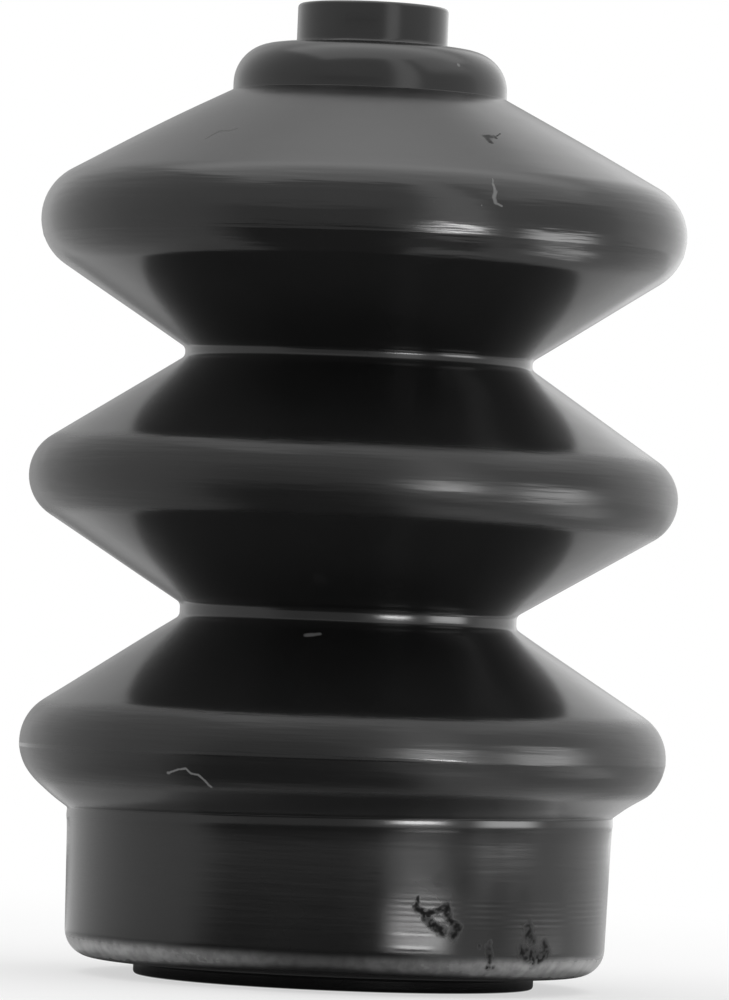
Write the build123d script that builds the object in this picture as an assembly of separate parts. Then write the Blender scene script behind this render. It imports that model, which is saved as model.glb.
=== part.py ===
from build123d import *

# Rubber bellows boot: one moulding with three convolutions between a mounting cuff and a rod neck.
# Millimetres and degrees. The foot stands on z = 0, and +Z runs up the axis to the neck.
import os
from dataclasses import dataclass
from math import cos, radians, sin

WALL = 1.6  # through the convolutions, measured square to the surface

# Cuff, which fits over the end of a cylinder body
CUFF_TOP_RADIUS = 17.7
CUFF_BOTTOM_RADIUS = 17.5
CUFF_EDGE = 1.8  # rounding of the bottom outer edge
CUFF_JUNCTION_FILLET = 0.7
CUFF_CAVITY_RADIUS = 15.2
CAVITY_SHOULDER = 1.5
CAVITY_FLOOR_FILLET = 0.8

# Retaining lip at the mouth, and the stepped-in foot under it
FOOT_RADIUS = 13.0
FOOT_HEIGHT = 1.0
FOOT_FILLET = 0.3
LIP_TOP = 3.0
LIP_EDGE = 0.5
MOUTH_BORE_RADIUS = 11.5
EDGE_BREAK = 0.25

# Roots between the convolutions, from the lower one up
ROOT_RADII = (11.1, 11.45)
ROOT_FILLET = 0.45

# Collar and neck, which grip the rod
COLLAR_RADIUS = 8.9
COLLAR_TOP = 60.7
COLLAR_SHOULDER = 2.6
COLLAR_FOOT_FILLET = 0.45
NECK_RADIUS = 4.9
NECK_TOP = 63.4
NECK_FOOT_FILLET = 0.4
NECK_BORE_RADIUS = 3.0
NECK_LEAD_IN = 0.8


@dataclass
class Crest:
    """One convolution: a rounded tip between two straight flanks, each sloped from the horizontal."""

    radius: float
    height: float
    rounding: float
    lower_slope: float
    upper_slope: float


LOWER_CREST = Crest(radius=21.0, height=15.0, rounding=3.25, lower_slope=36.0, upper_slope=31.0)
MIDDLE_CREST = Crest(radius=21.1, height=32.05, rounding=3.0, lower_slope=33.0, upper_slope=33.0)
UPPER_CREST = Crest(radius=21.0, height=48.95, rounding=3.55, lower_slope=33.3, upper_slope=28.4)


def lower_flank(crest, radius, inset):
    """Height at which a crest's lower flank, moved in by inset, crosses a radius."""
    slope = radians(crest.lower_slope)
    overhang = radius - (crest.radius - crest.rounding)
    return crest.height - (crest.rounding - inset - overhang * sin(slope)) / cos(slope)


def upper_flank(crest, radius, inset):
    """Height at which a crest's upper flank, moved in by inset, crosses a radius."""
    slope = radians(crest.upper_slope)
    overhang = radius - (crest.radius - crest.rounding)
    return crest.height + (crest.rounding - inset - overhang * sin(slope)) / cos(slope)


def crest_corner(crest, inset):
    """The corner that a crest's two flanks would meet in, and the rounding that makes its tip."""
    lower = radians(crest.lower_slope)
    upper = radians(crest.upper_slope)
    rounding = crest.rounding - inset
    reach = rounding * (cos(lower) + cos(upper)) / sin(lower + upper)
    radius = crest.radius - crest.rounding + reach
    return (radius, upper_flank(crest, radius, inset), rounding)


def root_corners(root_radius, below, above, inset):
    """The two corners of a root, where the crest below and the crest above run into it."""
    radius = root_radius - inset
    rounding = ROOT_FILLET + inset
    return [
        (radius, upper_flank(below, radius, inset), rounding),
        (radius, lower_flank(above, radius, inset), rounding),
    ]


def convolutions(inset):
    """Corners of the three convolutions from the bottom up, moved in by inset."""
    return [
        crest_corner(LOWER_CREST, inset),
        *root_corners(ROOT_RADII[0], LOWER_CREST, MIDDLE_CREST, inset),
        crest_corner(MIDDLE_CREST, inset),
        *root_corners(ROOT_RADII[1], MIDDLE_CREST, UPPER_CREST, inset),
        crest_corner(UPPER_CREST, inset),
    ]


def outer_corners():
    """Outside of the section from the foot up to the neck, each corner as radius, height, rounding."""
    junction = lower_flank(LOWER_CREST, CUFF_TOP_RADIUS, 0)
    collar_foot = upper_flank(UPPER_CREST, COLLAR_RADIUS, 0)
    return [
        (FOOT_RADIUS, 0, EDGE_BREAK),
        (FOOT_RADIUS, FOOT_HEIGHT, FOOT_FILLET),
        (CUFF_BOTTOM_RADIUS, FOOT_HEIGHT, CUFF_EDGE),
        (CUFF_TOP_RADIUS, junction, CUFF_JUNCTION_FILLET),
        *convolutions(inset=0),
        (COLLAR_RADIUS, collar_foot, COLLAR_FOOT_FILLET),
        (COLLAR_RADIUS, COLLAR_TOP, COLLAR_SHOULDER),
        (NECK_RADIUS, COLLAR_TOP, NECK_FOOT_FILLET),
        (NECK_RADIUS, NECK_TOP, EDGE_BREAK),
    ]


def inner_corners():
    """Inside of the section from the mouth up to the neck."""
    shoulder = lower_flank(LOWER_CREST, CUFF_CAVITY_RADIUS, WALL)
    bore_foot = upper_flank(UPPER_CREST, NECK_BORE_RADIUS, WALL)
    return [
        (MOUTH_BORE_RADIUS, 0, EDGE_BREAK),
        (MOUTH_BORE_RADIUS, LIP_TOP, LIP_EDGE),
        (CUFF_CAVITY_RADIUS, LIP_TOP, CAVITY_FLOOR_FILLET),
        (CUFF_CAVITY_RADIUS, shoulder, CAVITY_SHOULDER),
        *convolutions(inset=WALL),
        (NECK_BORE_RADIUS, bore_foot, NECK_LEAD_IN),
        (NECK_BORE_RADIUS, NECK_TOP, EDGE_BREAK),
    ]


def bellows_boot():
    """The whole boot: its section turned once about the axis."""
    corners = outer_corners() + inner_corners()[::-1]
    points = [(radius, height) for radius, height, _ in corners]
    roundings = [rounding for _, _, rounding in corners]
    with BuildPart() as boot:
        with BuildSketch(Plane.XZ):
            with BuildLine():
                FilletPolyline(*points, radius=roundings, close=True)
            make_face()
        revolve(axis=Axis.Z)
    boot.part.label = "bellows_boot"
    return boot.part


os.makedirs("parts", exist_ok=True)
export_step(bellows_boot(), "parts/bellows_boot.step")
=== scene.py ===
import math
from collections import namedtuple
from functools import reduce

import bpy
import numpy as np
from mathutils import Matrix, Vector


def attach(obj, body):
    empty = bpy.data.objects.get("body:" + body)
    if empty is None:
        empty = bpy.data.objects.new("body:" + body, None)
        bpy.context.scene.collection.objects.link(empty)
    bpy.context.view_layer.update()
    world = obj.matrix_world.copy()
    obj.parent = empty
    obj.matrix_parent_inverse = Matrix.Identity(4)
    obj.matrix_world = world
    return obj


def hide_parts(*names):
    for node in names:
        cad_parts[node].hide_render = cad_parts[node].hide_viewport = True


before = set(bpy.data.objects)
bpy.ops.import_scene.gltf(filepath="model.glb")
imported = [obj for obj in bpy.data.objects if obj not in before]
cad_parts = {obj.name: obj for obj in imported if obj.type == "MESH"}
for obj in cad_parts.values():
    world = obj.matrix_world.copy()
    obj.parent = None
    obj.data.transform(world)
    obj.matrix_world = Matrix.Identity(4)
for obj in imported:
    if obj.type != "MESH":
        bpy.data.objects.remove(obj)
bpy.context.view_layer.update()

# The rubber bellows boot as one moulding, its rubber, and the studio that stands round it. Lengths are in
# millimetres and angles in degrees, unless a comment says otherwise. The front faces -Y, and azimuths are
# measured from it towards the right.
MM = 0.001

# ---------------------------------------------------------------- section
WALL = 1.6
CUFF_TOP_RADIUS = 17.7
CUFF_BOTTOM_RADIUS = 17.5
CUFF_EDGE = 1.8
CUFF_JUNCTION_FILLET = 0.15
CUFF_CAVITY_RADIUS = 15.2
CAVITY_SHOULDER = 1.5
CAVITY_FLOOR_FILLET = 0.8
FOOT_RADIUS = 13.0
FOOT_HEIGHT = 1.0
FOOT_FILLET = 0.3
LIP_TOP = 3.0
LIP_EDGE = 0.5
MOUTH_BORE_RADIUS = 11.5
EDGE_BREAK = 0.25
ROOT_RADII = (10.95, 11.3)  # from the lower one up
ROOT_FILLET = 0.45
COLLAR_RADIUS = 8.9
COLLAR_TOP = 60.7
COLLAR_SHOULDER = 2.6
COLLAR_FOOT_FILLET = 0.06
NECK_RADIUS = 4.9
NECK_TOP = 63.4
NECK_FOOT_FILLET = 0.4
NECK_BORE_RADIUS = 3.0
NECK_LEAD_IN = 0.8

Crest = namedtuple("Crest", "radius height rounding lower_slope upper_slope")
LOWER_CREST = Crest(21.0, 15.0, 3.25, 36.0, 33.0)
MIDDLE_CREST = Crest(21.1, 32.05, 3.0, 31.5, 33.5)
UPPER_CREST = Crest(21.0, 48.95, 3.55, 32.9, 28.4)


def lower_flank(crest, radius, inset):
    """Height at which a crest's lower flank, moved in by inset, crosses a radius."""
    slope = math.radians(crest.lower_slope)
    overhang = radius - crest.radius + crest.rounding
    return crest.height - (crest.rounding - inset - overhang * math.sin(slope)) / math.cos(slope)


def upper_flank(crest, radius, inset):
    """Height at which a crest's upper flank, moved in by inset, crosses a radius."""
    slope = math.radians(crest.upper_slope)
    overhang = radius - crest.radius + crest.rounding
    return crest.height + (crest.rounding - inset - overhang * math.sin(slope)) / math.cos(slope)


CUFF_JUNCTION = lower_flank(LOWER_CREST, CUFF_TOP_RADIUS, 0)


def crest_corner(crest, inset):
    """The corner that a crest's two flanks would meet in, and the rounding that makes its tip."""
    lower, upper = math.radians(crest.lower_slope), math.radians(crest.upper_slope)
    rounding = crest.rounding - inset
    reach = rounding * (math.cos(lower) + math.cos(upper)) / math.sin(lower + upper)
    radius = crest.radius - crest.rounding + reach
    return (radius, upper_flank(crest, radius, inset), rounding)


def root_corners(root, below, above, inset):
    """The two corners of a root, where the crest below and the crest above run into it."""
    radius = root - inset
    return [
        (radius, upper_flank(below, radius, inset), ROOT_FILLET + inset),
        (radius, lower_flank(above, radius, inset), ROOT_FILLET + inset),
    ]


def convolutions(inset):
    """Corners of the three folds from the bottom up, moved in by inset."""
    return [
        crest_corner(LOWER_CREST, inset),
        *root_corners(ROOT_RADII[0], LOWER_CREST, MIDDLE_CREST, inset),
        crest_corner(MIDDLE_CREST, inset),
        *root_corners(ROOT_RADII[1], MIDDLE_CREST, UPPER_CREST, inset),
        crest_corner(UPPER_CREST, inset),
    ]


def outer_corners():
    """Outside of the section from the foot up to the neck, each corner as radius, height, rounding."""
    return [
        (FOOT_RADIUS, 0, EDGE_BREAK),
        (FOOT_RADIUS, FOOT_HEIGHT, FOOT_FILLET),
        (CUFF_BOTTOM_RADIUS, FOOT_HEIGHT, CUFF_EDGE),
        (CUFF_TOP_RADIUS, CUFF_JUNCTION, CUFF_JUNCTION_FILLET),
        *convolutions(0),
        (COLLAR_RADIUS, upper_flank(UPPER_CREST, COLLAR_RADIUS, 0), COLLAR_FOOT_FILLET),
        (COLLAR_RADIUS, COLLAR_TOP, COLLAR_SHOULDER),
        (NECK_RADIUS, COLLAR_TOP, NECK_FOOT_FILLET),
        (NECK_RADIUS, NECK_TOP, EDGE_BREAK),
    ]


def inner_corners():
    """Inside of the section from the mouth up to the neck."""
    return [
        (MOUTH_BORE_RADIUS, 0, EDGE_BREAK),
        (MOUTH_BORE_RADIUS, LIP_TOP, LIP_EDGE),
        (CUFF_CAVITY_RADIUS, LIP_TOP, CAVITY_FLOOR_FILLET),
        (CUFF_CAVITY_RADIUS, lower_flank(LOWER_CREST, CUFF_CAVITY_RADIUS, WALL), CAVITY_SHOULDER),
        *convolutions(WALL),
        (NECK_BORE_RADIUS, upper_flank(UPPER_CREST, NECK_BORE_RADIUS, WALL), NECK_LEAD_IN),
        (NECK_BORE_RADIUS, NECK_TOP, EDGE_BREAK),
    ]


# ---------------------------------------------------------------- what the real moulding adds to the section
# how each crest's plane sags: its rise to the right and to the front at the tip
LOWER_SAG = (0.2, 0.12)
CREST_SAGS = ((LOWER_CREST, LOWER_SAG), (MIDDLE_CREST, (-0.06, 0.25)), (UPPER_CREST, (0.12, 0.0)))
SAG_INNER_RADIUS = 11.0  # the sag grows from nothing here to all of it at the tip
SAG_REACH, SAG_FADE = 9.5, 3.0  # how far above and below the tip it ends, and over what height it fades there

# the same for the cuff's top edge, where it grows over JUNCTION_DEPTH from the cavity's radius outwards
JUNCTION_SAG = (0.22, 0.06)
JUNCTION_DEPTH = 1.2
JUNCTION_REACH, JUNCTION_FADE = 2.08, 1.6

# two faint rings low on the cuff, each sharper below than above and strongest at one azimuth
RING_HEIGHTS = (3.03, 3.93)
RING_RELIEF = 0.005
RING_ABOVE, RING_BELOW = 0.2, 0.14
RING_AZIMUTH, RING_SPREAD = 18, 9
RING_WANDER, RING_WAVES = 0.015, 3  # how far they wander up and down, and how many times in a turn

Ripple = namedtuple("Ripple", "height width relief")
CUFF_BEAD = Ripple(10.46, 0.38, 0.045)  # low swelling round the cuff, just under the first fold
UPPER_LINE = Ripple(47.76, 0.12, 0.021)  # fine lines round the tips of two of the folds
LOWER_LINE = Ripple(14.68, 0.14, 0.016)
CUFF_SKIN = 0.3  # how far inside the cuff's bottom radius its outside still has rings and bead
BEAD_GAP = 0.02  # they end this far under the cuff's top edge

# the cone under the collar bulges a little between these radii
CONE_CROWN = 0.08
CONE_SPAN = (9.3, 18.6)


def smooth(t):
    """0 up to 0 and 1 from 1 on, with a soft start and end between them."""
    t = np.clip(t, 0, 1)
    return t * t * (3 - 2 * t)


def sag(points):
    """Lets each crest's plane, and the cuff's top edge, tip and sag a little."""
    x, y, z = points.T
    r = np.hypot(x, y)
    rise = np.zeros(len(points))
    for crest, (right, front) in CREST_SAGS:
        share = smooth((r - SAG_INNER_RADIUS) / (crest.radius - SAG_INNER_RADIUS))
        share = share * smooth((SAG_REACH - np.abs(z - crest.height)) / SAG_FADE)
        rise += share * (right * x - front * y) / r
    right, front = JUNCTION_SAG
    share = smooth((r - CUFF_CAVITY_RADIUS) / JUNCTION_DEPTH)
    share = share * smooth((JUNCTION_REACH - np.abs(z - CUFF_JUNCTION)) / JUNCTION_FADE)
    rise += share * (right * x - front * y) / r
    points[:, 2] += rise
    return points


def ripple(z, shape):
    """Relief of a swelling that runs round the boot, at the heights z."""
    return shape.relief * np.exp(-(((z - shape.height) / shape.width) ** 2))


def relief(rows, angle):
    """Radial offsets of the outer rows at an azimuth in radians: rings, bead and fine lines."""
    r, z = rows.T
    on_cuff = (r > CUFF_BOTTOM_RADIUS - CUFF_SKIN) & (z < CUFF_JUNCTION - BEAD_GAP)
    on_folds = r > CUFF_TOP_RADIUS
    apart = (math.degrees(angle) - RING_AZIMUTH + 180) % 360 - 180
    strength = math.exp(-((apart / RING_SPREAD) ** 2))
    out = np.zeros(len(rows))
    for k, height in enumerate(RING_HEIGHTS):
        above = z - height - RING_WANDER * math.sin(RING_WAVES * angle + k)
        width = np.where(above > 0, RING_ABOVE, RING_BELOW)
        out += on_cuff * RING_RELIEF * strength * np.exp(-((above / width) ** 2))
    out += on_cuff * ripple(z, CUFF_BEAD)
    for line in (UPPER_LINE, LOWER_LINE):
        out += on_folds * ripple(z, line)
    return out


# ---------------------------------------------------------------- rows of the lathe
SEGMENTS = 288
FLANK_STEP, INNER_STEP = 1.3, 3.4
OUTER_TURN, SMALL_TURN, INNER_TURN = 6.0, 18.0, 24.0
SMALL_ROUNDING = 1.0  # arcs under this radius get rows SMALL_TURN apart
LINE_ROWS, LINE_STEP = 4, 0.45  # rows to each side of a fine line, and how many of its widths they are apart
LINE_CLEAR = 0.002  # the least angle, in radians, between such a row and the end of the arc

# on the outside of the cuff, and on to the first fold: from each height up, how far apart the rows are
WALL_ROWS = ((2.6, 0.09), (4.4, 0.7), (9.7, 0.08))
WALL_INSIDE = 0.05  # how far inside the cuff's bottom radius that stretch may start
WALL_STOP = 0.15  # no step starts nearer than this to the top of the stretch,
WALL_CLEAR = 0.04  # and no row lies nearer than this


def line_angles(centre, rounding, start, stop):
    """Where an arc needs more rows, because a fine line runs along it, in radians."""
    low, high = sorted((start, stop))
    extra = []
    for line in (UPPER_LINE, LOWER_LINE):
        if abs(line.height - centre[1]) < rounding and centre[0] > COLLAR_RADIUS:
            middle = math.asin((line.height - centre[1]) / rounding)
            step = LINE_STEP * line.width / rounding
            extra += [middle + k * step for k in range(-LINE_ROWS, LINE_ROWS + 1)]
    return [angle for angle in extra if low + LINE_CLEAR < angle < high - LINE_CLEAR]


def corner_arc(before, corner, after, rounding, outer):
    """Points along the arc that rounds a corner of the section."""
    back, on = before - corner, after - corner
    back, on = back / np.linalg.norm(back), on / np.linalg.norm(on)
    half = math.acos(float(back @ on)) / 2
    centre = corner + (back + on) / np.linalg.norm(back + on) * rounding / math.sin(half)
    first = corner + back * rounding / math.tan(half)
    last = corner + on * rounding / math.tan(half)
    start = math.atan2(first[1] - centre[1], first[0] - centre[0])
    stop = math.atan2(last[1] - centre[1], last[0] - centre[0])
    sweep = (stop - start + math.pi) % (2 * math.pi) - math.pi
    turn = INNER_TURN if not outer else SMALL_TURN if rounding < SMALL_ROUNDING else OUTER_TURN
    steps = max(2, math.ceil(abs(math.degrees(sweep)) / turn))
    angles = start + sweep * np.linspace(0, 1, steps + 1)
    if outer:
        angles = np.sort(np.append(angles, line_angles(centre, rounding, start, stop)))
        if sweep < 0:
            angles = angles[::-1]
    return centre + rounding * np.stack((np.cos(angles), np.sin(angles)), 1)


def between(a, b, outer):
    """Points on the straight stretch from a to b, close together where the cuff has fine relief."""
    if outer and min(a[0], b[0]) > CUFF_BOTTOM_RADIUS - WALL_INSIDE:
        heights, height = [], a[1]
        while height < b[1] - WALL_STOP:
            height += [step for low, step in WALL_ROWS if height >= low][-1]
            heights.append(height)
        shares = [(height - a[1]) / (b[1] - a[1]) for height in heights if height < b[1] - WALL_CLEAR]
    else:
        count = math.ceil(np.linalg.norm(b - a) / (FLANK_STEP if outer else INNER_STEP))
        shares = [k / count for k in range(1, count)]
    return [a + (b - a) * share for share in shares]


def rounded(corners, outer):
    """Points from the second corner to the last but one, each rounded by its own arc."""
    here = np.array([corner[:2] for corner in corners], float)
    arcs = [
        corner_arc(here[i - 1], here[i], here[i + 1], corners[i][2], outer)
        for i in range(1, len(corners) - 1)
    ]
    rows = [*arcs[0]]
    for arc, following in zip(arcs, arcs[1:]):
        rows += [*between(arc[-1], following[0], outer), *following]
    return np.array(rows)


def section():
    """The closed section: up the outside from the mouth, and down the inside."""
    outer, inner = outer_corners(), inner_corners()[::-1]
    up = rounded([inner[-1], *outer, inner[0]], True)
    down = rounded([outer[-1], *inner, outer[0]], False)
    across = (up[:, 0] - CONE_SPAN[0]) / (CONE_SPAN[1] - CONE_SPAN[0])
    on_cone = (across > 0) & (across < 1) & (up[:, 1] > UPPER_CREST.height)
    up[:, 1] += on_cone * CONE_CROWN * 4 * across * (1 - across)
    return up, down


def boot_mesh():
    """The section turned about the axis, with what the real moulding adds to it."""
    up, down = section()
    count = len(up) + len(down)
    points = []
    for k in range(SEGMENTS):
        angle = 2 * math.pi * k / SEGMENTS
        r, z = np.concatenate((up, down)).T
        r[: len(up)] += relief(up, angle)
        points.append(np.stack((r * math.sin(angle), -r * math.cos(angle), z), 1))
    points = sag(np.concatenate(points)) * MM
    faces = []
    for s in range(SEGMENTS):
        here, there = s * count, (s + 1) % SEGMENTS * count
        for k in range(count):
            on = (k + 1) % count
            faces.append((here + k, there + k, there + on, here + on))
    mesh = bpy.data.meshes.new("boot_moulding")
    mesh.from_pydata(points.tolist(), [], faces)
    mesh.validate()
    mesh.shade_smooth()
    return mesh


boot = bpy.data.objects.new("boot_moulding", boot_mesh())
bpy.context.scene.collection.objects.link(boot)
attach(boot, "root")
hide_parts("bellows_boot")


# ---------------------------------------------------------------- building materials
def nodes_of(owner):
    """The node tree of a material or a world, emptied."""
    owner.use_nodes = True
    tree = owner.node_tree
    tree.nodes.clear()
    return tree


def feed(tree, socket, value):
    """Sets a socket to a number or a vector, or links it to another node's output."""
    if isinstance(value, bpy.types.NodeSocket):
        tree.links.new(value, socket)
    else:
        socket.default_value = value


def calc(tree, operation, *values, clamp=False):
    """One operation on numbers."""
    node = tree.nodes.new("ShaderNodeMath")
    node.operation = operation
    node.use_clamp = clamp
    for socket, value in zip(node.inputs, values):
        feed(tree, socket, value)
    return node.outputs[0]


def product(tree, *values):
    """All the numbers multiplied together."""
    return reduce(lambda a, b: calc(tree, "MULTIPLY", a, b), values)


def vector_calc(tree, operation, *values, output="Vector"):
    """One operation on vectors."""
    node = tree.nodes.new("ShaderNodeVectorMath")
    node.operation = operation
    for socket, value in zip(node.inputs, values):
        feed(tree, socket, value)
    return node.outputs[output]


def span(tree, value, low, high, to_low=0.0, to_high=1.0):
    """Turns low..high into to_low..to_high with soft ends."""
    node = tree.nodes.new("ShaderNodeMapRange")
    node.interpolation_type = "SMOOTHSTEP"
    sockets = ("Value", "From Min", "From Max", "To Min", "To Max")
    for name, number in zip(sockets, (value, low, high, to_low, to_high)):
        feed(tree, node.inputs[name], number)
    return node.outputs[0]


def noise(tree, place, scale, detail, output="Fac"):
    """Soft noise with scale cells to the unit, and detail finer layers on them."""
    node = tree.nodes.new("ShaderNodeTexNoise")
    feed(tree, node.inputs["Vector"], place)
    node.inputs["Scale"].default_value = scale
    node.inputs["Detail"].default_value = detail
    return node.outputs[output]


def blend(tree, share, a, b):
    """a where share is 0, and b where it is 1."""
    node = tree.nodes.new("ShaderNodeMix")
    node.data_type = "FLOAT"
    for socket, value in zip((node.inputs[0], node.inputs[2], node.inputs[3]), (share, a, b)):
        feed(tree, socket, value)
    return node.outputs[0]


def lay_over(tree, share, under, over):
    """Ends a material with one shader laid over another."""
    mix = tree.nodes.new("ShaderNodeMixShader")
    for socket, value in zip(mix.inputs, (share, under.outputs[0], over.outputs[0])):
        tree.links.new(value, socket)
    end = tree.nodes.new("ShaderNodeOutputMaterial")
    tree.links.new(mix.outputs[0], end.inputs["Surface"])


def around(azimuth, radius, height):
    """The point at an azimuth, a distance from the axis and a height."""
    a = math.radians(azimuth)
    return Vector((radius * math.sin(a), -radius * math.cos(a), height))


# ---------------------------------------------------------------- marks on the rubber
# A mark has the azimuths and heights of the box of faces that carry it, how ragged its edges are, how strong
# its smears are, and its strokes: dark smears and pale dust. A stroke is a run of points, each with an
# azimuth, a radius, a height and a half width.
Mark = namedtuple("Mark", "name azimuths heights raggedness strength smears dusts", defaults=(0, (), ()))
MARKS = (
    Mark("cuff_smears", azimuths=(12, 54), heights=(1.4, 7.2), raggedness=0.3, strength=1, smears=(
        ((17.0, 17.6, 6.3, 0.14), (16.7, 17.6, 5.65, 0.24), (18.9, 17.6, 5.23, 0.3), (19.4, 17.6, 4.8, 0.3),
         (21.5, 17.6, 4.37, 0.32), (22.6, 17.6, 4.2, 0.2)),
        ((18.9, 17.6, 5.3, 0.2), (21.2, 17.6, 5.45, 0.22), (23.3, 17.6, 5.72, 0.3), (23.7, 17.6, 5.28, 0.26),
         (24.6, 17.6, 4.85, 0.26), (26.1, 17.6, 4.5, 0.34), (25.3, 17.6, 3.96, 0.2)),
        ((34.0, 17.6, 3.52, 0.2), (33.6, 17.6, 3.27, 0.26), (34.1, 17.5, 2.67, 0.2),
         (34.4, 17.3, 1.93, 0.22)),
        ((31.5, 17.6, 3.3, 0.16),),
        ((35.6, 17.3, 2.0, 0.16),),
        ((44.3, 17.6, 4.55, 0.36), (44.1, 17.6, 4.03, 0.34), (45.6, 17.6, 3.76, 0.4)),
        ((49.4, 17.6, 3.4, 0.34), (50.1, 17.5, 2.9, 0.4), (48.4, 17.5, 2.6, 0.44), (46.7, 17.5, 2.3, 0.4),
         (46.0, 17.5, 2.75, 0.46), (44.0, 17.5, 2.8, 0.42), (42.9, 17.5, 3.03, 0.34)),
    )),
    Mark("top_marks", azimuths=(15, 40), heights=(49.2, 55.3), raggedness=0.12, strength=0.8, smears=(
        ((29.7, 15.7, 54.03, 0.2), (30.0, 15.0, 54.4, 0.28), (31.3, 14.9, 54.46, 0.24)),
        ((32.5, 15.1, 54.37, 0.12), (32.7, 14.8, 54.52, 0.12)),
        ((33.4, 14.8, 54.52, 0.06), (35.7, 14.4, 54.76, 0.05)),
    ), dusts=(
        ((23.3, 20.0, 51.45, 0.04), (23.1, 20.3, 51.08, 0.09), (23.2, 20.6, 50.64, 0.13),
         (22.8, 20.8, 50.24, 0.12), (23.0, 20.9, 49.93, 0.07), (24.2, 20.9, 49.72, 0.04)),
        ((20.4, 20.95, 49.7, 0.05),),
    )),
    Mark("top_scratch", azimuths=(-42, -30), heights=(53.0, 55.0), raggedness=0.06, strength=0.3, smears=(
        ((-38.6, 16.4, 53.57, 0.11), (-38.2, 15.9, 53.85, 0.13), (-37.4, 15.4, 54.14, 0.13),
         (-34.5, 15.4, 54.15, 0.11), (-33.4, 15.1, 54.28, 0.07)),
    )),
    Mark("fibre", azimuths=(-35, -21), heights=(12.0, 14.6), raggedness=0.12, dusts=(
        ((-31.7, 20.6, 13.45, 0.1), (-31.5, 20.6, 13.46, 0.07), (-29.5, 20.72, 13.7, 0.07),
         (-28.0, 20.76, 13.8, 0.07), (-27.0, 20.6, 13.5, 0.07), (-25.7, 20.58, 13.43, 0.08),
         (-24.7, 20.35, 13.1, 0.09), (-23.8, 20.0, 12.67, 0.1)),
    )),
    Mark("crumb", azimuths=(-16, -5), heights=(21.4, 23.0), raggedness=0.12, dusts=(
        ((-11.9, 12.3, 22.4, 0.2), (-10.2, 12.25, 22.42, 0.16), (-8.4, 12.15, 22.5, 0.2)),
    )),
    Mark("collar_crumb", azimuths=(37, 45), heights=(58.8, 60.1), raggedness=0.12, dusts=(
        ((41.0, 8.6, 59.4, 0.12),),
    )),
)
THROUGH_HEIGHT = 48  # above this height a box takes in the unseen inside of the wall too

# noise: cells to the millimetre and finer layers
NOISE_MEAN = 0.5
RAGGED_NOISE, MOTTLE_NOISE, SCUFF_AND_SHEEN_NOISE = (3.0, 3), (3.4, 2), (1.3, 3)
SHADE_NOISE, ROUGH_NOISE = (0.25, 3), (0.6, 3)
STREAK_NOISE, GRAIN_NOISE = (1.0, 2), (7.0, 2)

# how strong a stroke is, from nothing to all of it, by the distance from it in half widths
SMEAR_EDGE, DUST_EDGE = (1.6, 0.3), (1.4, 0.5)
MOTTLE_EDGE = (0.36, 0.6)  # noise that weakens a smear, by MOTTLE_DEPTH times its raggedness at the most
MOTTLE_DEPTH = 1.8


def stroke_distance(tree, place, strokes):
    """Distance to the nearest stroke, in its half widths."""
    least = None
    for stroke in strokes:
        ends = [around(*point[:3]) for point in stroke]
        for a, b, (*_, half_width) in zip(ends, ends[1:] or ends, stroke):
            from_a = vector_calc(tree, "SUBTRACT", place, a)
            if a == b:
                distance = vector_calc(tree, "LENGTH", from_a, output="Value")
            else:
                along = (b - a) / (b - a).length_squared
                share = vector_calc(tree, "DOT_PRODUCT", from_a, along, output="Value")
                share = calc(tree, "ADD", share, 0.0, clamp=True)
                step = tree.nodes.new("ShaderNodeVectorMath")
                step.operation = "SCALE"
                step.inputs[0].default_value = b - a
                feed(tree, step.inputs["Scale"], share)
                distance = vector_calc(tree, "DISTANCE", from_a, step.outputs[0], output="Value")
            distance = calc(tree, "DIVIDE", distance, half_width)
            least = distance if least is None else calc(tree, "MINIMUM", least, distance)
    return least


def dirt(tree, place, mark):
    """How strong a mark's smears are at a place, and its dust, from 0 to 1."""
    smear = dust = 0.0
    if mark.smears or mark.dusts:
        ragged = vector_calc(tree, "SUBTRACT", noise(tree, place, *RAGGED_NOISE, "Color"), (NOISE_MEAN,) * 3)
        bent = vector_calc(tree, "MULTIPLY_ADD", ragged, (mark.raggedness,) * 3, place)
    if mark.smears:
        smear = span(tree, stroke_distance(tree, bent, mark.smears), *SMEAR_EDGE)
        least = 1 - MOTTLE_DEPTH * mark.raggedness
        mottle = span(tree, noise(tree, place, *MOTTLE_NOISE), *MOTTLE_EDGE, least, 1.0)
        smear = product(tree, smear, mottle, mark.strength)
    if mark.dusts:
        dust = span(tree, stroke_distance(tree, bent, mark.dusts), *DUST_EDGE)
    return smear, dust


# ---------------------------------------------------------------- rubber
# Pairs are the two ends of a soft change: where it starts, and where it is complete.
RUBBER_IOR = 1.42
RUBBER_SPECULAR, SMEAR_SPECULAR = 0.5, 0.1
RUBBER_SHADE, SMEAR_SHADE, DUST_SHADE, SCUFF_AND_SHEEN_SHADE = 0.010, 0.006, 0.16, 0.45
SHADE_SPREAD = 0.2  # how far the rubber's own shade wanders, as a share of it
GLOSS_ROUGHNESS, DULL_ROUGHNESS, POLISHED_ROUGHNESS = 0.18, 0.31, 0.09
# DRY_ROUGHNESS also serves the pale band round the bottom edge, which is partly scuffing and partly a painted
# reflection of the floor
SMEAR_ROUGHNESS, DRY_ROUGHNESS = 0.75, 0.55  # dust and scuffing are dry
ROUGHNESS_SPREAD = 0.04
TIP_RADII = (19.2, 20.4)  # the folds' tips
DULL_TOP = (44, 40)  # those under this height are duller
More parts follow.
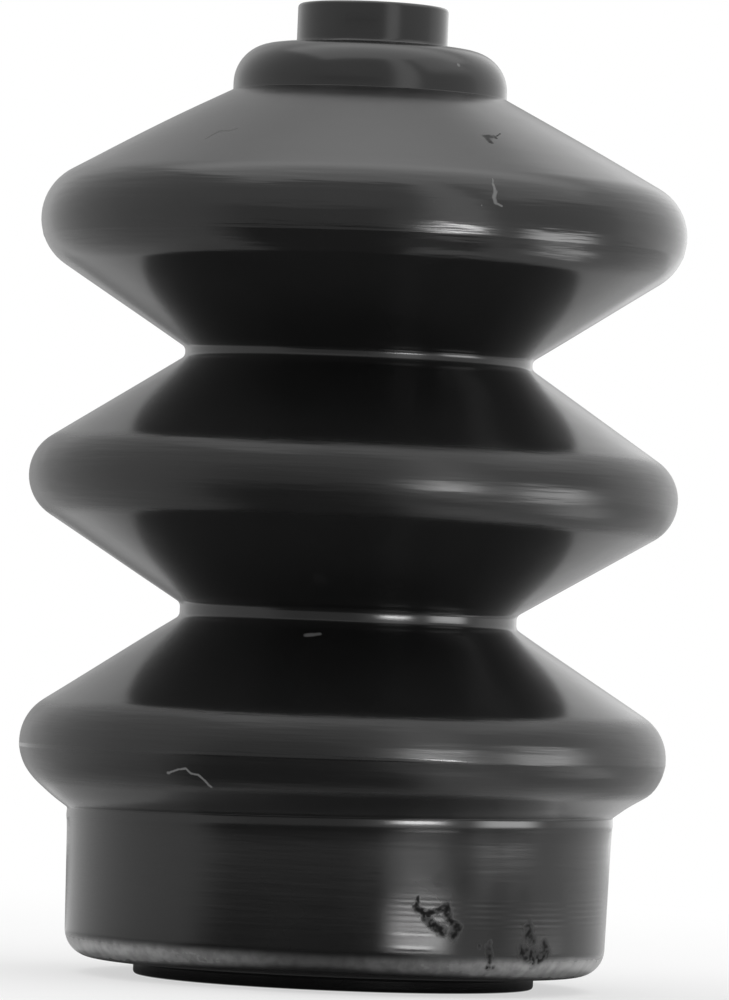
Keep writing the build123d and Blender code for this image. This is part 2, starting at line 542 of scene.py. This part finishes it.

# pale band round the cuff's bottom edge: partly scuffing and partly a painted reflection of the floor, lower
# and stronger at the sides
SCUFF_AND_SHEEN_BOTTOM, SCUFF_AND_SHEEN_TOP = (1.3, 1.75), (2.7, 2.0)
SCUFF_AND_SHEEN_RADII = (15.8, 16.6)
SCUFF_AND_SHEEN_SIDE_DROP = 0.45  # how much lower the band starts at the sides
SCUFF_AND_SHEEN_CENTRE = 0.05  # how far left of the front it is weakest, as a share of the radius
SCUFF_AND_SHEEN_LEAST, SCUFF_AND_SHEEN_GAIN = 0.12, 1.35  # how strong it is there, and how fast it gets stronger to the sides
SCUFF_AND_SHEEN_MOTTLE = (0.25, 0.75, 0.6, 1.1)  # a span of the noise, and the strengths that it turns into
SCUFF_AND_SHEEN_COVER, SCUFF_AND_SHEEN_DRYNESS = 0.8, 0.5  # how much of the colour and of the roughness the band takes over; its colour is partly scuffing, partly painted reflection

# polish along the lower fold's fine line, from some way above it, and along the cuff's rings
LINE_RISE, LINE_EDGE = 0.06, (0.16, 0.06)
LINE_RADII, LINE_RIGHT_END = (20.2, 20.7), (0.4, 0.28)
RING_RISE, RING_EDGE = 0.05, (0.22, 0.12)
RING_RADII, RING_LEFT_END, RING_RIGHT_END = (17.0, 17.3), (0.17, 0.25), (0.38, 0.31)

# fine relief: streaks along the way the mould was turned, grain, and a ladder of faint rings on the cuff
STREAK_STRETCH = (0.15, 0.15, 2.6)
STREAK_RELIEF, TIP_STREAK_RELIEF, POLISHED_STREAK_RELIEF = 0.005, 0.04, 0.0008
GRAIN_RELIEF = 0.0012
LADDER_START, LADDER_STEP, LADDER_RELIEF = 4.66, 0.37, 0.0014
LADDER_BOTTOM, LADDER_TOP, LADDER_LEFT_END = (4.2, 4.6), (6.5, 6.0), (0.1, 0.3)

Spot = namedtuple("Spot", "place height radius right back")


def spot_on_boot(tree):
    """The point being shaded. right and back are how far it is round the axis that way, from -1 to 1."""
    metres = tree.nodes.new("ShaderNodeTexCoord").outputs["Object"]
    place = vector_calc(tree, "MULTIPLY", metres, (1 / MM,) * 3)
    parts = tree.nodes.new("ShaderNodeSeparateXYZ")
    tree.links.new(place, parts.inputs[0])
    x, y, z = parts.outputs
    radius = calc(tree, "SQRT", calc(tree, "ADD", calc(tree, "MULTIPLY", x, x), calc(tree, "MULTIPLY", y, y)))
    return Spot(place, z, radius, calc(tree, "DIVIDE", x, radius), calc(tree, "DIVIDE", y, radius))


def scuff_and_sheen_band(tree, spot):
    """How strong the pale band round the bottom edge is, from 0 to 1: partly scuffing and partly a painted
    reflection of the floor, mottled, lower and stronger at the sides.
    """
    dropped = calc(tree, "MULTIPLY", spot.right, spot.right)
    dropped = calc(tree, "MULTIPLY_ADD", dropped, SCUFF_AND_SHEEN_SIDE_DROP, spot.height)
    sideways = calc(tree, "ABSOLUTE", calc(tree, "ADD", spot.right, SCUFF_AND_SHEEN_CENTRE))
    sideways = calc(tree, "MULTIPLY", sideways, SCUFF_AND_SHEEN_GAIN, clamp=True)
    return product(
        tree,
        span(tree, dropped, *SCUFF_AND_SHEEN_BOTTOM),
        span(tree, spot.height, *SCUFF_AND_SHEEN_TOP),
        span(tree, spot.radius, *SCUFF_AND_SHEEN_RADII),
        calc(tree, "MAXIMUM", sideways, SCUFF_AND_SHEEN_LEAST),
        span(tree, noise(tree, spot.place, *SCUFF_AND_SHEEN_NOISE), *SCUFF_AND_SHEEN_MOTTLE),
    )


def polish(tree, spot):
    """How polished the rubber is, from 0 to 1, along the lower fold's fine line and the cuff's rings."""
    right, front = LOWER_SAG
    level = calc(tree, "MULTIPLY_ADD", spot.right, -right, spot.height)
    level = calc(tree, "MULTIPLY_ADD", spot.back, front, level)
    off_line = calc(tree, "ABSOLUTE", calc(tree, "SUBTRACT", level, LOWER_LINE.height + LINE_RISE))
    polished = product(
        tree,
        span(tree, off_line, *LINE_EDGE),
        span(tree, spot.radius, *LINE_RADII),
        span(tree, spot.right, *LINE_RIGHT_END),
    )
    for height in RING_HEIGHTS:
        off_ring = calc(tree, "ABSOLUTE", calc(tree, "SUBTRACT", spot.height, height + RING_RISE))
        on_ring = product(
            tree,
            span(tree, off_ring, *RING_EDGE),
            span(tree, spot.right, *RING_LEFT_END),
            span(tree, spot.right, *RING_RIGHT_END),
            span(tree, spot.radius, *RING_RADII),
        )
        polished = calc(tree, "MAXIMUM", polished, on_ring)
    return polished


def fine_relief(tree, spot, tip, polished):
    """Height of the streaks, the grain and the ladder."""
    stretched = vector_calc(tree, "MULTIPLY", spot.place, STREAK_STRETCH)
    streaks = calc(tree, "SUBTRACT", noise(tree, stretched, *STREAK_NOISE), NOISE_MEAN)
    streak_relief = blend(tree, tip, STREAK_RELIEF, TIP_STREAK_RELIEF)
    streak_relief = blend(tree, polished, streak_relief, POLISHED_STREAK_RELIEF)
    height = calc(tree, "MULTIPLY", streaks, streak_relief)
    height = calc(tree, "MULTIPLY_ADD", noise(tree, spot.place, *GRAIN_NOISE), GRAIN_RELIEF, height)
    above = calc(tree, "SUBTRACT", spot.height, LADDER_START)
    ladder = calc(tree, "COSINE", calc(tree, "MULTIPLY", above, 2 * math.pi / LADDER_STEP))
    on_ladder = product(
        tree,
        span(tree, spot.height, *LADDER_BOTTOM),
        span(tree, spot.height, *LADDER_TOP),
        span(tree, spot.right, *LADDER_LEFT_END),
    )
    return calc(tree, "MULTIPLY_ADD", calc(tree, "MULTIPLY", ladder, on_ladder), LADDER_RELIEF, height)


def rubber(name, mark):
    """Black moulded rubber: glossy, with fine turning streaks, a bottom edge painted pale (partly scuffing,
    partly a painted reflection of the floor) and a mark.
    """
    material = bpy.data.materials.new(name)
    tree = nodes_of(material)
    shader = tree.nodes.new("ShaderNodeBsdfPrincipled")
    shader.inputs["IOR"].default_value = RUBBER_IOR
    end = tree.nodes.new("ShaderNodeOutputMaterial")
    tree.links.new(shader.outputs[0], end.inputs["Surface"])

    spot = spot_on_boot(tree)
    smear, dust = dirt(tree, spot.place, mark)
    scuff_and_sheen = scuff_and_sheen_band(tree, spot)
    polished = polish(tree, spot)
    tip = span(tree, spot.radius, *TIP_RADII)

    if mark.smears:
        feed(tree, shader.inputs["Specular IOR Level"], blend(tree, smear, RUBBER_SPECULAR, SMEAR_SPECULAR))

    darker, paler = RUBBER_SHADE * (1 - SHADE_SPREAD), RUBBER_SHADE * (1 + SHADE_SPREAD)
    shade = blend(tree, noise(tree, spot.place, *SHADE_NOISE), darker, paler)
    # the pale band round the bottom edge: partly scuffing, partly a painted reflection of the floor
    shade = blend(tree, calc(tree, "MULTIPLY", scuff_and_sheen, SCUFF_AND_SHEEN_COVER), shade, SCUFF_AND_SHEEN_SHADE)
    shade = blend(tree, smear, shade, SMEAR_SHADE)
    shade = blend(tree, dust, shade, DUST_SHADE)
    colour = tree.nodes.new("ShaderNodeCombineColor")
    for socket in colour.inputs:
        tree.links.new(shade, socket)
    tree.links.new(colour.outputs[0], shader.inputs["Base Color"])

    low_tip = calc(tree, "MULTIPLY", tip, span(tree, spot.height, *DULL_TOP))
    rough = blend(tree, low_tip, GLOSS_ROUGHNESS, DULL_ROUGHNESS)
    rough = blend(tree, polished, rough, POLISHED_ROUGHNESS)
    least = calc(tree, "SUBTRACT", rough, ROUGHNESS_SPREAD)
    rough = calc(tree, "MULTIPLY_ADD", noise(tree, spot.place, *ROUGH_NOISE), 2 * ROUGHNESS_SPREAD, least)
    rough = blend(tree, smear, rough, SMEAR_ROUGHNESS)
    dry = calc(tree, "MAXIMUM", dust, calc(tree, "MULTIPLY", scuff_and_sheen, SCUFF_AND_SHEEN_DRYNESS))
    rough = blend(tree, dry, rough, DRY_ROUGHNESS)
    tree.links.new(rough, shader.inputs["Roughness"])

    bump = tree.nodes.new("ShaderNodeBump")
    bump.inputs["Strength"].default_value = 1.0
    bump.inputs["Distance"].default_value = MM
    tree.links.new(fine_relief(tree, spot, tip, polished), bump.inputs["Height"])
    tree.links.new(bump.outputs[0], shader.inputs["Normal"])
    return material


def of_faces(mesh, measure):
    """A measure of each face that has three numbers, such as its centre, as an array of each."""
    values = np.empty(3 * len(mesh.polygons))
    mesh.polygons.foreach_get(measure, values)
    return values.reshape(-1, 3).T


def add_marks(mesh):
    """Adds a material for each mark, and gives it to the faces in the mark's box."""
    x, y, z = of_faces(mesh, "center") / MM
    normal_x, normal_y, _ = of_faces(mesh, "normal")
    outside = (normal_x * x + normal_y * y > 0) | (z > THROUGH_HEIGHT)
    azimuth = np.degrees(np.arctan2(x, -y))
    slots = np.zeros(len(x), int)
    for slot, mark in enumerate(MARKS, 1):
        mesh.materials.append(rubber("moulded_rubber_" + mark.name, mark))
        low, high = mark.heights
        left, right = mark.azimuths
        slots[outside & (left < azimuth) & (azimuth < right) & (low < z) & (z < high)] = slot
    mesh.polygons.foreach_set("material_index", slots)


UNMARKED = Mark("none", azimuths=(), heights=(), raggedness=0)
boot.data.materials.append(rubber("moulded_rubber", UNMARKED))
add_marks(boot.data)

# ---------------------------------------------------------------- camera, in metres and degrees
scene = bpy.context.scene
scene.view_settings.view_transform = "Standard"

VIEW_DISTANCE = 0.4875
VIEW_HEIGHT = 0.0241
AIM = Vector((0.00075, 0, 0.0313))
ROLL = 2.4
SENSOR_WIDTH, LENS = 24, 180  # in millimetres

camera = bpy.data.objects.new("camera", bpy.data.cameras.new("camera"))
scene.collection.objects.link(camera)
camera.data.sensor_width = SENSOR_WIDTH
camera.data.lens = LENS
camera.location = (AIM.x, -VIEW_DISTANCE, VIEW_HEIGHT)
towards = (AIM - camera.location).to_track_quat("-Z", "Y").to_matrix().to_4x4()
camera.rotation_mode = "QUATERNION"
camera.rotation_quaternion = (towards @ Matrix.Rotation(math.radians(ROLL), 4, "Z")).to_quaternion()
scene.camera = camera

# ---------------------------------------------------------------- background and floor
WORLD_LIGHT, WORLD_SEEN = 0.5, 1.0
FLOOR_COLOUR = 0.85
FLOOR_OWN = 0.6  # share of the floor's brightness near the boot that shadows leave alone
FLOOR_FADE = (45, 150)  # between these distances the floor turns into the white background
FLOOR_SIZE = 4000
FLOOR_DROP = 0.02  # the floor lies this far under the foot, so that their faces don't meet


def seen_by_eye(tree):
    """1 for camera, glossy and transmission rays, which see the background as it is, and 0 for the rest."""
    path = tree.nodes.new("ShaderNodeLightPath")
    seen = path.outputs["Is Camera Ray"]
    for name in ("Is Glossy Ray", "Is Transmission Ray"):
        seen = calc(tree, "MAXIMUM", seen, path.outputs[name])
    return seen


def floor_material():
    """Pale and matt. Where it is seen, part of its brightness is its own, and far from the boot all of it."""
    material = bpy.data.materials.new("floor")
    tree = nodes_of(material)
    paint = tree.nodes.new("ShaderNodeBsdfDiffuse")
    paint.inputs["Color"].default_value = (FLOOR_COLOUR, FLOOR_COLOUR, FLOOR_COLOUR, 1)
    glow = tree.nodes.new("ShaderNodeEmission")
    glow.inputs["Strength"].default_value = 1.0
    place = tree.nodes.new("ShaderNodeTexCoord").outputs["Object"]
    distance = vector_calc(tree, "LENGTH", place, output="Value")
    fade = span(tree, distance, FLOOR_FADE[0] * MM, FLOOR_FADE[1] * MM, FLOOR_OWN, 1.0)
    lay_over(tree, calc(tree, "MULTIPLY", seen_by_eye(tree), fade), paint, glow)
    return material


world = bpy.data.worlds.new("studio")
scene.world = world
tree = nodes_of(world)
background = tree.nodes.new("ShaderNodeBackground")
background.inputs["Color"].default_value = (1, 1, 1, 1)
tree.links.new(blend(tree, seen_by_eye(tree), WORLD_LIGHT, WORLD_SEEN), background.inputs["Strength"])
end = tree.nodes.new("ShaderNodeOutputWorld")
tree.links.new(background.outputs[0], end.inputs["Surface"])

floor_mesh = bpy.data.meshes.new("floor")
half = FLOOR_SIZE / 2
corners = ((-half, -half), (half, -half), (half, half), (-half, half))
floor_mesh.from_pydata([Vector((x, y, -FLOOR_DROP)) * MM for x, y in corners], [], [(0, 1, 2, 3)])
floor_mesh.materials.append(floor_material())
floor = bpy.data.objects.new("floor", floor_mesh)
scene.collection.objects.link(floor)

# ---------------------------------------------------------------- lamps, and panels seen only in reflections
SAMPLED_RADIANCE = 10  # brighter panels are sampled as lamps
SHEET_CELLS = (48, 16)  # across and along
CARD_LIFT = 0.05  # height of the panels that lie on the floor
LAMP_AIM = (0, 0, 30)


def softbox(name, place, size, radiance, aim=LAMP_AIM):
    """A lamp that lights without showing in reflections, where the panels do."""
    data = bpy.data.lights.new(name, "AREA")
    data.shape = "RECTANGLE"
    data.size, data.size_y = size[0] * MM, size[1] * MM
    data.energy = radiance * math.pi * data.size * data.size_y
    lamp = bpy.data.objects.new(name, data)
    scene.collection.objects.link(lamp)
    lamp.location = Vector(place) * MM
    lamp.rotation_mode = "QUATERNION"
    lamp.rotation_quaternion = (Vector(aim) * MM - lamp.location).to_track_quat("-Z", "Y")
    lamp.visible_camera = lamp.visible_glossy = False


def light_material(name, radiance):
    """Even light where the mesh's cover is 1, and clear where it is 0."""
    material = bpy.data.materials.new(name)
    material.cycles.emission_sampling = "FRONT_BACK" if radiance > SAMPLED_RADIANCE else "NONE"
    tree = nodes_of(material)
    glow = tree.nodes.new("ShaderNodeEmission")
    glow.inputs["Strength"].default_value = radiance
    clear = tree.nodes.new("ShaderNodeBsdfTransparent")
    cover = tree.nodes.new("ShaderNodeAttribute")
    cover.attribute_name = "cover"
    lay_over(tree, cover.outputs["Fac"], clear, glow)
    return material


def sheet_of_light(name, across, along, place, radiance, fade):
    """A reflector, or a flag where it is dim, over the spans across and along, which place turns into points.
    fade is how far in from each end of across, then of along, it thins out."""
    columns, rows = SHEET_CELLS
    points, cover, faces = [], [], []
    for i in range(columns + 1):
        u = across[0] + (across[1] - across[0]) * i / columns
        for k in range(rows + 1):
            v = along[0] + (along[1] - along[0]) * k / rows
            points.append(place(u, v) * MM)
            edges = (u - across[0], across[1] - u, v - along[0], along[1] - v)
            cover.append(math.prod(float(smooth(e / f)) if f else 1.0 for e, f in zip(edges, fade)))
            if i < columns and k < rows:
                a = i * (rows + 1) + k
                faces.append((a, a + 1, a + rows + 2, a + rows + 1))
    mesh = bpy.data.meshes.new(name)
    mesh.from_pydata(points, [], faces)
    mesh.attributes.new("cover", "FLOAT", "POINT").data.foreach_set("value", cover)
    mesh.materials.append(light_material(name, radiance))
    sheet = bpy.data.objects.new(name, mesh)
    scene.collection.objects.link(sheet)
    sheet.visible_camera = sheet.visible_diffuse = sheet.visible_shadow = False
    sheet.visible_transmission = sheet.visible_volume_scatter = False


def card(name, radius, azimuths, heights, radiance, fade):
    """A curved panel standing round the boot."""
    def place(azimuth, height):
        return around(azimuth, radius, height)

    sheet_of_light(name, azimuths, heights, place, radiance, fade)


def floor_card(name, azimuths, radii, radiance, fade, height=CARD_LIFT):
    """A panel lying on the floor round the boot."""
    def place(azimuth, radius):
        return around(azimuth, radius, height)

    sheet_of_light(name, azimuths, radii, place, radiance, fade)


def ceiling_card(name, across, along, height, radiance, fade):
    """A level panel above the boot."""
    def place(x, y):
        return Vector((x, y, height))

    sheet_of_light(name, across, along, place, radiance, fade)


softbox("overhead_light", (30, 90, 430), (620, 600), 1.2, aim=(30, 90, 0))
softbox("right_light", (330, 180, 140), (240, 260), 1.3)
softbox("left_light", (-360, -60, 160), (240, 260), 1.2)

ceiling_card("overhead", (-280, 420), (-210, 325), 430, 2.25, fade=(60, 60, 40, 190))
card("back", 235, (166, 194), (0, 340), 0.5, fade=(8, 8, 0, 200))
card("back_left", 250, (176, 212), (0, 340), 0.65, fade=(14, 18, 0, 200))
card("back_right", 240, (96, 176), (0, 300), 1.4, fade=(2, 14, 0, 60))
card("right", 130, (36, 98), (0, 320), 1.15, fade=(6, 2, 0, 60))
card("right_upper", 125, (44, 104), (100, 330), 2.0, fade=(14, 8, 50, 60))
card("window", 100, (14, 44), (0, 300), 2.3, fade=(13, 8, 0, 60))
card("bright_strip", 95, (16, 43), (17.5, 23.5), 56, fade=(12, 8, 2, 2))
card("front_flag", 114, (-60, 14), (0, 84), 0.6, fade=(28, 12, 0, 30))
card("low_window", 55, (15, 43), (0, 2.3), 16, fade=(9, 7, 0, 0.7))
floor_card("low_window_floor", (18, 44), (44, 55), 14, fade=(8, 6, 5, 0))
floor_card("low_window_near", (22, 60), (20, 42), 1.2, fade=(8, 12, 6, 0))
floor_card("low_window_shade", (8, 50), (37, 57), 0.09, fade=(6, 6, 0, 0), height=5)
card("side_window", 80, (50, 86), (6, 35), 9, fade=(10, 12, 3, 8))
card("cuff_flag", 60, (42, 104), (0, 5.2), 0.95, fade=(6, 6, 0, 0.6))
card("cuff_dark", 59, (54, 80), (0, 8), 0.6, fade=(7, 6, 0, 1))
floor_card("front_floor", (-60, 30), (18, 114), 0.09, fade=(20, 14, 3, 0))
floor_card("left_floor", (-170, -50), (18, 55), 0.66, fade=(20, 10, 3, 25))
floor_card("near_right_floor", (34, 100), (18.5, 34), 1.4, fade=(12, 12, 1, 8))
floor_card("low_right_floor", (62, 102), (48, 80), 5.2, fade=(12, 12, 8, 4))
floor_card("right_floor", (100, 160), (30, 110), 0.9, fade=(20, 10, 8, 30))
floor_card("behind_left_floor", (178, 212), (50, 240), 0.34, fade=(8, 15, 15, 40), height=0.1)
floor_card("behind_right_floor", (148, 186), (50, 240), 0.75, fade=(15, 8, 15, 40), height=0.1)
# dim panel on the floor under the boot: a painted shadow of the boot, seen in reflections, where the floor's
# own glow isn't shadowed
floor_card("under_boot_painted_shadow", (-180, 180), (4, 18.2), 0.05, fade=(0, 0, 0, 0.8))
